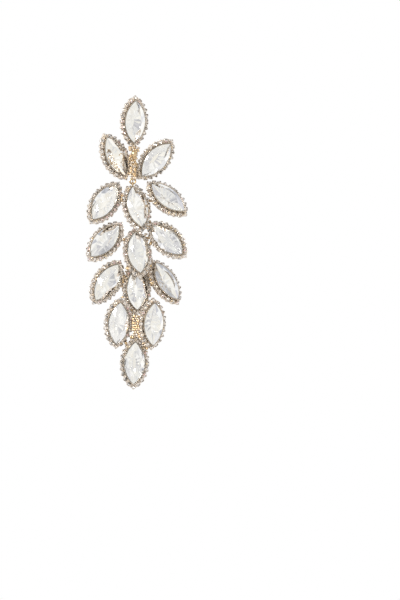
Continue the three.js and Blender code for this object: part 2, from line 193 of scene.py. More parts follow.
# Solder: a drop where two rings of stones come closer than the contact, and grains in narrow
# places. A place is narrow where its ways to the two nearest edges add up to less than the gap, or
# where the third edge is nearer than the hole. A grain needs neighbours beside it.
CONTACT = 1.2 * MM
SOLDER = 0.6 * MM
FILL_STEP = 0.42 * MM
FILL_GAP_STUD = 1.35 * MM
FILL_GAP_DROP = 1.1 * MM
FILL_HOLE = 1.6 * MM
FILL_OVERLAP = 0.2 * MM
FILL_NEIGHBOURS = 2
FILL_BESIDE = 1.6 * FILL_STEP
FILL_LEVEL = 1.2 * MM
FILL_SHIFT = 0.4
FILL_SHIFT_DEPTH = 0.8
FILL_SIZES = (0.6, 0.95)

# Floor, key light and tent
FLOOR_RADIUS = 0.4
FLOOR_Z = -0.2
FLOOR_STEPS = 64
LIGHT_TARGET = Vector((0, 0, -0.045))
TENT_SCALE = 2.8
TENT_DETAIL = 1.5
TENT_STRETCHES = [
    (0.34, (0.46, 0.47, 0.5)), (0.43, (0.7, 0.7, 0.74)), (0.51, (0.92, 0.93, 0.92)),
    (0.58, (0.97, 0.94, 0.87)), (0.66, (1.08, 1.08, 1.07)),
]

# The wires from side leaves to the back: how far along the crystal's half length each one starts
ARMS = {
    "stud_left": -0.45,
    "stud_right": -0.45,
    "row1_left": 0.2,
    "row1_right": 0.0,
    "row2_left": 0.2,
    "row2_right": 0.2,
    "row3_left": 0.3,
    "row3_right": -0.1,
    "row4_left": 0.0,
    "row4_right": 0.0,
}

rng = random.Random(7)


# Materials
def new_material(name, **values):
    """A material whose main shader has the given values."""
    material = bpy.data.materials.new(name)
    material.use_nodes = True
    shader = material.node_tree.nodes["Principled BSDF"]
    for key, value in values.items():
        shader.inputs[key.replace("_", " ").title().replace("Ior", "IOR")].default_value = value
    return material, material.node_tree, shader


def noise(tree, scale, detail=3.0, roughness=0.5):
    """A noise texture in the object's own space, in repeats a millimetre."""
    coordinates = tree.nodes.new("ShaderNodeTexCoord")
    texture = tree.nodes.new("ShaderNodeTexNoise")
    texture.inputs["Scale"].default_value = scale / MM
    texture.inputs["Detail"].default_value = detail
    texture.inputs["Roughness"].default_value = roughness
    tree.links.new(coordinates.outputs["Object"], texture.inputs["Vector"])
    return texture.outputs["Fac"]


def ramp(tree, factor, stops):
    """Colours along a factor, from (place, colour) stops."""
    node = tree.nodes.new("ShaderNodeValToRGB")
    elements = node.color_ramp.elements
    while len(elements) < len(stops):
        elements.new(0.5)
    for element, (place, colour) in zip(elements, stops):
        element.position = place
        element.color = (*colour, 1)
    tree.links.new(factor, node.inputs["Fac"])
    return node.outputs["Color"]


def spread(tree, factor, low, high):
    """A factor from 0 to 1 mapped to a range."""
    node = tree.nodes.new("ShaderNodeMapRange")
    node.inputs["To Min"].default_value = low
    node.inputs["To Max"].default_value = high
    tree.links.new(factor, node.inputs["Value"])
    return node.outputs["Result"]


def bump(tree, shader, height, strength, distance):
    """Fine relief on a shader."""
    node = tree.nodes.new("ShaderNodeBump")
    node.inputs["Strength"].default_value = strength
    node.inputs["Distance"].default_value = distance
    tree.links.new(height, node.inputs["Height"])
    tree.links.new(node.outputs["Normal"], shader.inputs["Normal"])


def glass(name, colour):
    """Clear cut glass, with faint wear in its polish."""
    material, tree, shader = new_material(
        name, base_color=(*colour, 1), transmission_weight=1.0, ior=1.55, roughness=0.0
    )
    tree.links.new(spread(tree, noise(tree, 0.8), 0.0, 0.03), shader.inputs["Roughness"])
    return material


def foil(name, light, dark, roughness):
    """The silvered back of a stone: a soft mirror, a little cloudy."""
    material, tree, shader = new_material(name, metallic=1.0)
    clouds = noise(tree, 0.25, 2.0)
    tree.links.new(ramp(tree, clouds, [(0.35, dark), (0.65, light)]), shader.inputs["Base Color"])
    tree.links.new(spread(tree, clouds, roughness * 0.6, roughness * 1.4), shader.inputs["Roughness"])
    return material


def metal(name, light, dark, roughness, grain, patch=1.1):
    """Plated metal with a fine grain, darker where the plate has aged, in patches a millimetre."""
    material, tree, shader = new_material(name, metallic=1.0)
    age = noise(tree, patch, 4.0, 0.6)
    tree.links.new(ramp(tree, age, [(0.3, dark), (0.62, light)]), shader.inputs["Base Color"])
    tree.links.new(spread(tree, age, roughness * 1.4, roughness * 0.7), shader.inputs["Roughness"])
    bump(tree, shader, noise(tree, 5.0, 3.0), grain, 0.02 * MM)
    return material


CRYSTAL_GLASS = glass("crystal_glass", (0.985, 0.985, 0.99))
CRYSTAL_FOIL = foil("crystal_foil", (0.96, 0.95, 0.91), (0.86, 0.85, 0.83), 0.06)
STONE_GLASS = glass("small_stone_glass", (0.98, 0.95, 0.92))
STONE_FOILS = [
    foil("small_stone_foil", (0.98, 0.95, 0.91), (0.88, 0.83, 0.77), 0.14),
    foil("rosy_stone_foil", (0.96, 0.83, 0.8), (0.8, 0.66, 0.62), 0.16),
    foil("honey_stone_foil", (0.95, 0.87, 0.72), (0.8, 0.7, 0.54), 0.16),
    foil("smoky_stone_foil", (0.6, 0.58, 0.54), (0.38, 0.36, 0.33), 0.12),
]
STONE_SHARES = (0.4, 0.22, 0.18, 0.2)
CUP_METAL = metal("cup_metal", (0.95, 0.87, 0.78), (0.58, 0.5, 0.43), 0.32, 0.25)
BRONZE = metal("bronze", (0.78, 0.68, 0.57), (0.44, 0.36, 0.28), 0.38, 0.3)
PLATE = metal("plate", (0.8, 0.72, 0.61), (0.66, 0.57, 0.46), 0.3, 0.12, 0.3)
GOLD = metal("gold", (0.78, 0.58, 0.35), (0.34, 0.24, 0.13), 0.26, 0.35)
WIRE_GOLD = metal("wire_gold", (0.78, 0.6, 0.38), (0.6, 0.45, 0.27), 0.28, 0.12, 0.3)


# Meshes
class Build:
    """Points and faces that are collected into one mesh."""

    def __init__(self):
        self.points = []
        self.faces = []
        self.kinds = []

    def add(self, points, faces, kind=0):
        """Adds points and faces whose numbers start at zero."""
        first = len(self.points)
        self.points.extend(tuple(point) for point in points)
        self.faces.extend(tuple(first + i for i in face) for face in faces)
        self.kinds.extend([kind] * len(faces))

    def add_stone(self, points, clear, silver, clear_kind, silver_kind):
        """Adds a stone from its clear faces and its silvered ones."""
        first = len(self.points)
        self.add(points, clear, clear_kind)
        self.faces.extend(tuple(first + i for i in face) for face in silver)
        self.kinds.extend([silver_kind] * len(silver))

    def piece(self, name, matrix, materials, body, slot, *nodes):
        """The mesh as a piece that rides on a body and stands for the given nodes."""
        mesh = bpy.data.meshes.new(name)
        mesh.from_pydata(self.points, [], self.faces)
        mesh.transform(matrix)
        for material in materials:
            mesh.materials.append(material)
        mesh.polygons.foreach_set("material_index", self.kinds)
        mesh.validate()
        mesh.update()
        made = bpy.data.objects.new(name, mesh)
        bpy.context.scene.collection.objects.link(made)
        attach(made, body)
        if nodes:
            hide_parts(*nodes)
        return made


def bands(rings, closed_ends=True):
    """Faces through rings of equally many points, numbered ring by ring."""
    count = len(rings[0])
    faces = []
    for r in range(len(rings) - 1):
        for i in range(count):
            j = (i + 1) % count
            faces.append((r * count + i, r * count + j, (r + 1) * count + j, (r + 1) * count + i))
    if closed_ends:
        faces.append(tuple(reversed(range(count))))
        faces.append(tuple((len(rings) - 1) * count + i for i in range(count)))
    return [point for ring in rings for point in ring], faces


def oval(half_length, half_width, share, y):
    """The point of a pointed oval a share of the way round from its upper point, right side first."""
    radius = (half_length ** 2 + half_width ** 2) / (2 * half_width)
    reach = math.asin(half_length / radius)
    side = 1 if share % 1 < 0.5 else -1
    angle = reach * (1 - 4 * (share % 0.5))
    across = radius * math.cos(angle) - (radius - half_width)
    return (side * across, y, side * radius * math.sin(angle))


# Leaves
class Leaf:
    """A leaf's place, axes and sizes, measured on its crystal and its ring of stones."""

    def __init__(self, node, body):
        self.name = node.removeprefix("crystal_")
        self.body = body
        points = self.corners(node)
        centre = points.mean(0)
        axes = np.linalg.eigh(np.cov((points - centre).T))[1]
        back = axes[:, 0] * np.sign(axes[1, 0])
        along = axes[:, 2] * np.sign(axes[2, 2])
        across = np.cross(back, along)
        self.axes = np.array([across, back, along])
        local = (points - centre) @ self.axes.T
        # A crystal's points lie at four depths: table, both girdle edges and keel
        levels = np.unique(np.round(local[:, 1], 5))
        self.origin = centre + back * levels[1]
        self.crown = levels[1] - levels[0]
        self.pavilion = levels[3] - levels[2]
        self.half_length = local[:, 2].max()
        self.half_width = local[:, 0].max()
        self.ring_points = self.corners("stones_" + self.name)
        ring = (self.ring_points - self.origin) @ self.axes.T
        self.ring_top = ring[:, 1].min()
        self.ring_back = ring[:, 1].max()
        self.ring_width = ring[:, 0].max()
        self.ring_tip = ring[:, 2].max()
        self.arc = (self.half_length ** 2 + self.half_width ** 2) / (2 * self.half_width)
        self.arc_centre = self.arc - self.half_width
        self.flange_front = self.ring_back + FLANGE_BELOW_RING
        self.flange_back = self.flange_front + FLANGE_THICKNESS
        place = np.column_stack([self.axes.T, self.origin])
        self.matrix = Matrix(np.vstack([place, [0, 0, 0, 1]]).tolist())

    def outline(self, distance, y, count=SETTING_STEPS):
        """The crystal's outline moved outwards by a distance."""
        half_length = math.sqrt((self.arc + distance) ** 2 - self.arc_centre ** 2)
        return [oval(half_length, self.half_width + distance, i / count, y) for i in range(count)]

    def ring_outline(self):
        """The outer edge of the ring of stones, a little inside it."""
        distance = self.ring_width - self.half_width - FILL_OVERLAP
        edge = self.outline(distance, (self.ring_top + self.ring_back) / 2, 3 * SETTING_STEPS)
        return np.array(placed(edge, self.matrix))

    def flange_point(self, share):
        """The middle of the flange's thickness, a share of the crystal's half length up."""
        y = (self.flange_front + self.flange_back) / 2
        return self.matrix @ Vector((0, y, share * self.half_length))

    @staticmethod
    def corners(node):
        """A node's corner points, each once."""
        mesh = frame["nodes"][node].data
        return np.unique(np.round([list(v.co) for v in mesh.vertices], 6), axis=0)


# Places in the lists of materials: a crystal's glass and foil, then a ring's metal, glass and foils
GLASS_KIND, FOIL_KIND = 0, 1
CUP_KIND, STONE_KIND, FIRST_FOIL = 0, 1, 2


def crystal(leaf):
    """A navette crystal: table, star, kite and girdle facets over a silvered pavilion."""
    length, width = leaf.half_length, leaf.half_width
    around = MAINS * GIRDLE_STEPS
    table_length, table_width = length * TABLE_SHARE, width * TABLE_SHARE
    table = [oval(table_length, table_width, i / MAINS, -leaf.crown) for i in range(MAINS)]
    knee_length, knee_width = length * BREAK_SHARE, width * BREAK_SHARE
    knee_y = -leaf.crown * BREAK_HEIGHT
    knees = [oval(knee_length, knee_width, (i + 0.5) / MAINS, knee_y) for i in range(MAINS)]
    upper = [oval(length, width, i / around, 0) for i in range(around)]
    lower = [oval(length, width, i / around, GIRDLE) for i in range(around)]
    keel_y = GIRDLE + leaf.pavilion * PAVILION_SHARE
    below = range(PAVILION_MAINS)
    keel_length, keel_width = length * KEEL_LENGTH_SHARE, width * KEEL_WIDTH_SHARE
    keel = [oval(keel_length, keel_width, i / PAVILION_MAINS, keel_y) for i in below]
    break_y = GIRDLE + (keel_y - GIRDLE) * PAVILION_BREAK_DEPTH
    break_length, break_width = length * PAVILION_BREAK, width * PAVILION_BREAK
    breaks = [oval(break_length, break_width, (i + 0.5) / PAVILION_MAINS, break_y) for i in below]
    points = table + knees + upper + lower + keel + breaks
    knee_at, upper_at = MAINS, 2 * MAINS
    lower_at = upper_at + around
    keel_at = lower_at + around
    break_at = keel_at + PAVILION_MAINS
    clear = [tuple(range(MAINS))]
    silver = [tuple(keel_at + i for i in reversed(below))]
    for i in range(MAINS):
        after = (i + 1) % MAINS
        start = i * GIRDLE_STEPS
        clear.append((i, knee_at + i, after))
        clear.append((i, knee_at + (i - 1) % MAINS, upper_at + start, knee_at + i))
        for k in range(GIRDLE_STEPS):
            one, two = start + k, (start + k + 1) % around
            clear.append((knee_at + i, upper_at + one, upper_at + two))
            clear.append((upper_at + one, lower_at + one, lower_at + two, upper_at + two))
    steps = around // PAVILION_MAINS
    for i in below:
        after, before = (i + 1) % PAVILION_MAINS, (i - 1) % PAVILION_MAINS
        start = i * steps
        silver.append((keel_at + i, keel_at + after, break_at + i))
        silver.append((keel_at + i, break_at + i, lower_at + start, break_at + before))
        for k in range(steps):
            silver.append((break_at + i, lower_at + (start + k + 1) % around, lower_at + start + k))
    build = Build()
    build.add_stone(points, clear, silver, GLASS_KIND, FOIL_KIND)
    return build


def small_stone(radius, top, depth):
    """A round stone with a table, eight star and eight kite facets over a silvered cone."""
    sides = SMALL_STONE_SIDES

    def ring(size, y, turn=0.0, count=sides):
        angles = [2 * math.pi / count * (i + turn) for i in range(count)]
        return [(size * math.sin(angle), y, size * math.cos(angle)) for angle in angles]

    table = ring(radius * SMALL_TABLE_SHARE, top)
    knees = ring(radius * SMALL_BREAK_SHARE, top * SMALL_BREAK_HEIGHT, 0.5)
    girdle = ring(radius, 0, 0, 2 * sides)
    tip = [(0, depth, 0)]
    points = table + knees + girdle + tip
    clear, silver = [tuple(range(sides))], []
    for i in range(sides):
        after = (i + 1) % sides
        edge = 2 * sides + 2 * i
        clear.append((i, sides + i, after))
        clear.append((i, sides + (i - 1) % sides, edge, sides + i))
        far = 2 * sides + (2 * i + 2) % (2 * sides)
        clear.append((sides + i, edge, edge + 1))
        clear.append((sides + i, edge + 1, far))
        silver.append((4 * sides, edge + 1, edge))
        silver.append((4 * sides, far, edge + 1))
    return points, clear, silver


def rounded_square(half_x, half_z, corner, y, steps=3):
    """A rectangle with rounded corners."""
    points = []
    for quarter, (sx, sz) in enumerate([(1, 1), (1, -1), (-1, -1), (-1, 1)]):
        for k in range(steps + 1):
            angle = math.pi / 2 * (quarter + k / steps)
            points.append((
                sx * (half_x - corner) + corner * math.sin(angle),
                y,
                sz * (half_z - corner) + corner * math.cos(angle),
            ))
    return points


def cup(across, along, top, back, corner):
    """A square cup with thin walls, from half its width and half its length."""

    def section(inset, radius, y):
        return rounded_square(across - inset, along - inset, radius, y)

    foot = back - CUP_FOOT_SHARE * (back - top)
    inside = corner - CUP_WALL
    rings = [
        section(CUP_WALL + CUP_SPREAD, corner, back),
        section(CUP_SPREAD, corner, foot),
        section(0, corner, top + CUP_EDGE),
        section(CUP_EDGE, corner, top),
        section(CUP_WALL, inside, top + CUP_EDGE),
        section(2 * CUP_WALL, inside, back - CUP_FLOOR),
    ]
    points, faces = bands(rings)
    return points, [tuple(reversed(face)) for face in faces]


def claw(x, z, top):
    """A claw that rises from a cup's corner and bends over the stone."""
    inward = Vector((-x, 0, -z)).normalized()
    side = Vector((inward.z, 0, -inward.x))
    rings = []
    for reach, rise, size in CLAW_STATIONS:
        middle = Vector((x, top, z)) + inward * (CLAW_RISE * reach) + Vector((0, CLAW_RISE * rise, 0))
        out = inward
        if rise < CLAW_BENDS_AT:
            lean = (inward + Vector((0, CLAW_LEAN, 0))).normalized()
            out = lean.cross(side).normalized()
        rings.append([
            tuple(middle + (out * math.cos(a) + side * math.sin(a)) * (CLAW * size))
            for a in (2 * math.pi * k / CLAW_SIDES for k in range(CLAW_SIDES))
        ])
    return bands(rings)


def placed(points, place):
    """Points moved by a matrix."""
    return [tuple(place @ Vector(point)) for point in points]


def stone_ring(leaf, is_open):
    """The cups, claws, links and small stones round a crystal."""
    cup_size = leaf.ring_width - leaf.half_width - RING_GAP
    middle = RING_GAP + cup_size / 2
    centre = leaf.arc_centre
    radius = leaf.arc + middle
    reach = math.acos(centre / radius)
    pitch = 2 * reach / (CUPS_A_SIDE + 1)
    along = pitch * radius * CUP_SHARE / 2
    across = cup_size / 2 + CUP_SPREAD
    cup_top = leaf.ring_top + SMALL_STONE_RISE
    places = []
    for side in (1, -1):
        for i in range(CUPS_A_SIDE + 1):
            if is_open and side == 1 and i == 0:
                continue
            angle = reach - i * pitch
            x = radius * math.cos(angle) - centre
            z = radius * math.sin(angle) - (0 if i else TIP_INWARD)
            turn = -angle if i else math.pi / 4
            places.append((side * x, side * z, turn + (0 if side == 1 else math.pi), i == 0))
    build = Build()
    side_cup = cup(across, along, cup_top, leaf.ring_back, CUP_CORNER)
    tip_cup = cup(across, across, cup_top, leaf.ring_back, TIP_CORNER)
    for x, z, turn, at_tip in places:
        spin = Matrix.Translation((x, 0, z)) @ Matrix.Rotation(-turn if not at_tip else turn, 4, "Y")
        if at_tip:
            spin = spin @ Matrix.Diagonal((TIP_CUP, 1, TIP_CUP, 1))
        lean = Matrix.Rotation(rng.gauss(0, STONE_LEAN), 4, "X")
        lean = lean @ Matrix.Rotation(rng.gauss(0, STONE_LEAN), 4, "Z")
        points, faces = tip_cup if at_tip else side_cup
        build.add(placed(points, spin), faces, CUP_KIND)
        for sx in (1, -1):
            for sz in (1, -1):
                points, faces = claw(sx * (across - CLAW_INSET), sz * (along - CLAW_INSET), cup_top)
                build.add(placed(points, spin), faces, CUP_KIND)
        size = across - SMALL_STONE_INSET
        points, clear, silver = small_stone(size, -SMALL_STONE_RISE, SMALL_STONE_DEPTH)
        seat = Matrix.Translation((0, cup_top - SMALL_STONE_SUNK, 0)) @ lean
        seat = spin @ seat @ Matrix.Rotation(rng.uniform(0, math.pi), 4, "Y")
        foil_kind = FIRST_FOIL + rng.choices(range(len(STONE_FOILS)), STONE_SHARES)[0]
        build.add_stone(placed(points, seat), clear, silver, STONE_KIND, foil_kind)
    for side in (1, -1):
        for i in range(CUPS_A_SIDE + 1):
            if is_open and ((side == 1 and i == 0) or (side == -1 and i == CUPS_A_SIDE)):
                continue
            angle = reach - (i + 0.5) * pitch
            length = pitch * radius * LINK_SHARE
            x = radius * math.cos(angle) - centre
            spin = Matrix.Translation((side * x, 0, side * radius * math.sin(angle)))
            spin = spin @ Matrix.Rotation(angle if side == 1 else angle + math.pi, 4, "Y")
            link_y = leaf.ring_back - LINK_BACK
            rings = [
                rounded_square(LINK_WIDTH / 2, length / 2, LINK_CORNER, link_y),
                rounded_square(LINK_WIDTH / 2, length / 2, LINK_CORNER, link_y - LINK_THICKNESS),
            ]
            points, faces = bands(rings)
            build.add(placed(points, spin), [tuple(reversed(face)) for face in faces], CUP_KIND)
    return build


# The leaf whose ring is open at its upper tip, for the drop's eye
OPEN_LEAVES = ("row1_middle",)
bodies = frame["record"]["behaviour"]["bodies"]
leaves = [
    Leaf(node, body) for body, nodes in bodies.items() for node in nodes if node.startswith("crystal_")
]
for leaf in leaves:
    crystal(leaf).piece(
        "cut_crystal_" + leaf.name, leaf.matrix, [CRYSTAL_GLASS, CRYSTAL_FOIL], leaf.body, "crystal",
        "crystal_" + leaf.name,
    )
    stone_ring(leaf, leaf.name in OPEN_LEAVES).piece(
        "stone_chain_" + leaf.name, leaf.matrix, [CUP_METAL, STONE_GLASS, *STONE_FOILS], leaf.body,
        "rhinestone", "stones_" + leaf.name,
    )


# Metal frames, with the places of their metals in the list
METALS = [PLATE, GOLD, BRONZE, WIRE_GOLD]
PLATE_METAL, BRIGHT_METAL, GRAIN_METAL, WIRE_METAL = range(len(METALS))
hinge = Vector(frame["record"]["behaviour"]["joints"][0]["pos_m"])
drop_eye = hinge - Vector((0, 0, 2 * NECK_RING_RADIUS))


def leaf_named(name):
    """The leaf with a name."""
    return next(leaf for leaf in leaves if leaf.name == name)


def setting(leaf):
    """A crystal's cup with a rounded rim, its flange and the sunk panel on its back."""
    rim = SEAT_GAP + RIM_WALL
    panel = leaf.flange_back - PANEL_DEPTH
    sections = [
        (-PANEL_INSET - FLANGE_EDGE, panel),
        (-PANEL_INSET, leaf.flange_back),
        (FLANGE_REACH - FLANGE_EDGE, leaf.flange_back),
        (FLANGE_REACH, leaf.flange_back - FLANGE_EDGE),
        (FLANGE_REACH, leaf.flange_front + FLANGE_EDGE),
        (FLANGE_REACH - FLANGE_EDGE, leaf.flange_front),
        (-FOOT_INSET, leaf.flange_front),
        (rim - RIM_WALL / 2, SEAT_DEPTH),
        (rim, SEAT_DEPTH / 2),
        (rim, RIM_LIP),
        (rim - RIM_WALL / 3, -RIM_LIP),
        (SEAT_GAP + RIM_WALL / 3, -RIM_LIP),
        (SEAT_GAP, RIM_LIP),
        (SEAT_GAP, SEAT_DEPTH),
        (-FLOOR_INSET, leaf.flange_front - PIECE_GAP),
    ]
    points, faces = bands([leaf.outline(distance, y) for distance, y in sections])
    return placed(points, leaf.matrix), faces


def circle(radius, sides):
    """Points on a circle, from its side towards its top."""
    angles = [2 * math.pi * k / sides for k in range(sides)]
    return [(radius * math.cos(angle), radius * math.sin(angle)) for angle in angles]


def tube(start, end, radius, sides=12):
    """A straight round wire."""
    line = end - start
    turn = line.to_track_quat("Z", "Y").to_matrix().to_4x4()
    place = Matrix.Translation(start) @ turn
    points, faces = bands([[(x, y, z) for x, y in circle(radius, sides)] for z in (0, line.length)])
    return placed(points, place), faces


def torus(middle, radius, wire, flat_axis, around=28, sides=12):
    """A closed ring of round wire whose hole looks along an axis."""
    turn = Vector(flat_axis).to_track_quat("Z", "Y").to_matrix().to_4x4()
    place = Matrix.Translation(middle) @ turn
    points, faces = [], []
    for i in range(around):
        a = 2 * math.pi * i / around
        for k in range(sides):
            b = 2 * math.pi * k / sides
            r = radius + wire / 2 * math.cos(b)
            points.append((r * math.cos(a), r * math.sin(a), wire / 2 * math.sin(b)))
            first, after, j = i * sides, ((i + 1) % around) * sides, (k + 1) % sides
            faces.append((first + k, after + k, after + j, first + j))
    return placed(points, place), faces


def bead(middle, size, sides=12, levels=7):
    """A small ball, or an egg where size has three values."""
    size = Vector((size, size, size)) if isinstance(size, float) else Vector(size)
    # The first and last circle lie this share of a step from the poles
    pole = 0.35
    points, faces = [], []
    for level in range(levels):
        polar = math.pi * (level + pole) / (levels - 1 + 2 * pole)
        for x, y in circle(math.sin(polar), sides):
            points.append(tuple(Vector(middle) + Vector((x, y, math.cos(polar))) * size))
    for level in range(levels - 1):
        above, below = level * sides, (level + 1) * sides
        for k in range(sides):
            j = (k + 1) % sides
            faces.append((above + k, below + k, below + j, above + j))
    faces.append(tuple(range(sides)))
    faces.append(tuple(reversed([(levels - 1) * sides + k for k in range(sides)])))
    return points, faces


def prism(outline, front, back):
    """A flat plate from its front outline in x and z, with rounded edges."""
    middle = Vector((sum(x for x, z in outline), sum(z for x, z in outline))) / len(outline)
    near, far = front + PLATE_EDGE, back - PLATE_EDGE

    def ring(y, inset):
        points = []
        for x, z in outline:
            inward = middle - Vector((x, z))
            x, z = Vector((x, z)) + inward.normalized() * inset
            points.append((x, y, z))
        return points

    return bands([ring(front, PLATE_EDGE), ring(near, 0), ring(far, 0), ring(back, PLATE_EDGE)])


def grain(build, middle, sizes):
    """One grain, of gold or of bronze."""
    kind = BRIGHT_METAL if rng.random() < GOLD_SHARE else GRAIN_METAL
    build.add(*bead(middle, GRAIN * rng.uniform(*sizes), GRAIN_SIDES, GRAIN_LEVELS), kind)


def grains(build, outline, front, rows, spare):
    """Staggered rows of grains over the front of a plate, past its left and right by the spares."""
    top = max(z for x, z in outline)
    bottom = min(z for x, z in outline)
    for row in range(rows):
        z = top - (row + 0.5) * (top - bottom) / rows
        crossings = []
        for (ax, az), (bx, bz) in zip(outline, outline[1:] + outline[:1]):
            if (az - z) * (bz - z) < 0:
                crossings.append(ax + (bx - ax) * (z - az) / (bz - az))
        left, right = min(crossings) - spare[0], max(crossings) + spare[1]
        count = max(2, round((right - left) / (GRAIN_PITCH * GRAIN)))
        stagger = GRAIN_STAGGER if row % 2 else 1 - GRAIN_STAGGER
        for k in range(count):
            share = (k + stagger + rng.uniform(-GRAIN_SHIFT_ACROSS, GRAIN_SHIFT_ACROSS)) / count
            middle = (
                left + (right - left) * share,
                front - rng.uniform(*GRAIN_SHIFT_FRONT) * GRAIN,
                z + rng.uniform(-GRAIN_SHIFT_ALONG, GRAIN_SHIFT_ALONG) * GRAIN,
            )
            grain(build, middle, GRAIN_SIZES)


def arm(build, leaf, x):
    """The wire from a side leaf to the back wire or stem, with a drop of solder at each end."""
    start = leaf.flange_point(ARMS[leaf.name])
    end = Vector((x, BACK_WIRE_Y, start.z))
    build.add(*tube(start, end, WIRE / 2), WIRE_METAL)
    for place in (start, end):
        build.add(*bead(place + Vector((0, DROP_BACK, 0)), WIRE_DROP), WIRE_METAL)


def solder(build, body):
    """A drop of solder wherever the stone rings of two leaves come close."""
    own = [leaf for leaf in leaves if leaf.body == body]
    for i, one in enumerate(own):
        for other in own[i + 1:]:
            gaps = np.linalg.norm(one.ring_points[:, None] - other.ring_points[None], axis=2)
            a, b = np.unravel_index(gaps.argmin(), gaps.shape)
            if gaps[a, b] < CONTACT:
                middle = (one.ring_points[a] + other.ring_points[b]) / 2
                build.add(*bead(middle, SOLDER), BRIGHT_METAL)


def is_inside(x, z, outline):
    """Whether a place is inside an outline, seen from the front."""
    inside = False
    ends = np.roll(outline, -1, 0)
    for (ax, _, az), (bx, _, bz) in zip(outline, ends):
        if (az > z) != (bz > z) and x < ax + (bx - ax) * (z - az) / (bz - az):
            inside = not inside
    return inside


def dense(outline, y):
    """A plate's outline with a point every half step, at a depth."""
    points = []
    for (ax, az), (bx, bz) in zip(outline, outline[1:] + outline[:1]):
        count = max(1, round(math.hypot(bx - ax, bz - az) / (FILL_STEP / 2)))
        points.extend((ax + (bx - ax) * k / count, y, az + (bz - az) * k / count) for k in range(count))
    return np.array(points)


def narrow_places(outlines, gap):
    """Places on a grid outside all outlines that are narrow, at the depth of the edges beside them."""
    corners = np.vstack(outlines)
    low, high = corners.min(0), corners.max(0)
    places = []
    for x in np.arange(low[0], high[0], FILL_STEP):
        for z in np.arange(low[2], high[2], FILL_STEP):
            found = []
            for outline in outlines:
                away = np.hypot(outline[:, 0] - x, outline[:, 2] - z)
                found.append((away.min(), outline[away.argmin(), 1]))
            (first, first_y), (second, second_y), (third, _) = sorted(found)[:3]
            is_narrow = first + second < gap or third < FILL_HOLE
            if is_narrow and not any(is_inside(x, z, outline) for outline in outlines):
                is_level = abs(first_y - second_y) < FILL_LEVEL
                places.append((x, (first_y + second_y) / 2 if is_level else first_y, z))
    return places


def fill(build, body, plates, gap):
    """Grains of solder in the narrow places between a body's rings of stones and plates."""
    outlines = [leaf.ring_outline() for leaf in leaves if leaf.body == body] + plates
    places = narrow_places(outlines, gap)
    for place in places:
        beside = sum(math.dist(place, other) < FILL_BESIDE for other in places) - 1
        if beside < FILL_NEIGHBOURS:
            continue
        middle = Vector(place) + Vector((
            rng.uniform(-FILL_SHIFT, FILL_SHIFT) * FILL_STEP,
            rng.uniform(-FILL_SHIFT_DEPTH, FILL_SHIFT_DEPTH) * GRAIN,
            rng.uniform(-FILL_SHIFT, FILL_SHIFT) * FILL_STEP,
        ))
        grain(build, middle, FILL_SIZES)


def stud_frame():
    """Three settings, the stem with its column of gold grains, the pad and the upper eye."""
    build = Build()
    for leaf in leaves:
        if leaf.body == "stud":
            build.add(*setting(leaf), PLATE_METAL)
    top = leaf_named("stud_top")
    stem_top = -top.ring_tip - PIECE_GAP
    stem_bottom = hinge.z + EYE_RADIUS
    half = STEM_WIDTH / 2
    blade = [(-half, stem_top), (half, stem_top), (half, stem_bottom), (-half, stem_bottom)]
    build.add(*prism(blade, STEM_FRONT_Y, BACK_WIRE_Y), PLATE_METAL)
    column_bottom = stem_bottom - COLUMN_BELOW
    narrow = stem_top + (column_bottom - stem_top) * COLUMN_NARROWS_AT
    column = [
        (COLUMN_LEFT, stem_top),
        (COLUMN_RIGHT_TOP, stem_top),
        (COLUMN_RIGHT_BOTTOM, narrow),
        (COLUMN_RIGHT_BOTTOM, column_bottom),
        (COLUMN_LEFT, column_bottom),
    ]
    build.add(*prism(column, COLUMN_FRONT_Y, COLUMN_BACK_Y), GRAIN_METAL)
    over_tip = [(x, z + (COLUMN_TOP_SPARE if z == stem_top else 0)) for x, z in column]
    grains(build, over_tip, COLUMN_FRONT_Y, COLUMN_ROWS, (GRAIN_LEFT, GRAIN_RIGHT))
    build.add(*bead(DROP_OF_GOLD, DROP_OF_GOLD_SIZE, sides=16, levels=9), BRIGHT_METAL)
    join = Vector((0, BACK_WIRE_Y, stem_top))
    build.add(*tube(top.flange_point(STEM_TOP_SHARE), join, WIRE / 2), WIRE_METAL)
    build.add(*bead(join, WIRE_DROP), WIRE_METAL)
    for name in ("stud_left", "stud_right"):
        arm(build, leaf_named(name), 0)
    build.add(*prism(circle(PAD_RADIUS, PAD_STEPS), -PAD_THICKNESS, 0), WIRE_METAL)
    build.add(*torus(hinge, EYE_RADIUS, EYE_WIRE, (1, 0, 0)), BRIGHT_METAL)
    solder(build, "stud")
    fill(build, "stud", [dense(column, COLUMN_FRONT_Y)], FILL_GAP_STUD)
    return build


def back_wires(build, own):
    """The back wire behind the middle leaves, with a peg to each and arms to the side leaves."""
    middles = [leaf for leaf in own if leaf.name.endswith("middle") or leaf.name == "bottom"]
    seats = [middles[0].flange_point(SPINE_TOP_SHARE)] + [leaf.flange_point(0) for leaf in middles]
    spine = [Vector((seat.x, BACK_WIRE_Y, seat.z)) for seat in seats]
    for above, below in zip(spine, spine[1:]):
        build.add(*tube(above, below, SPINE_WIRE / 2, SPINE_SIDES), WIRE_METAL)
    for place in spine:
        build.add(*bead(place, SPINE_KNOT), WIRE_METAL)
    for seat, place in zip(seats[1:], spine[1:]):
        build.add(*tube(seat, place, WIRE / 2), WIRE_METAL)

    def spine_x(z):
        i = next((k for k, place in enumerate(spine) if place.z < z), len(spine) - 1)
        above, below = spine[max(i, 1) - 1], spine[max(i, 1)]
        return above.x + (below.x - above.x) * (z - above.z) / (below.z - above.z)

    for name in ARMS:
        leaf = leaf_named(name)
        if leaf.body == "drop":
            arm(build, leaf, spine_x(leaf.flange_point(ARMS[name]).z))


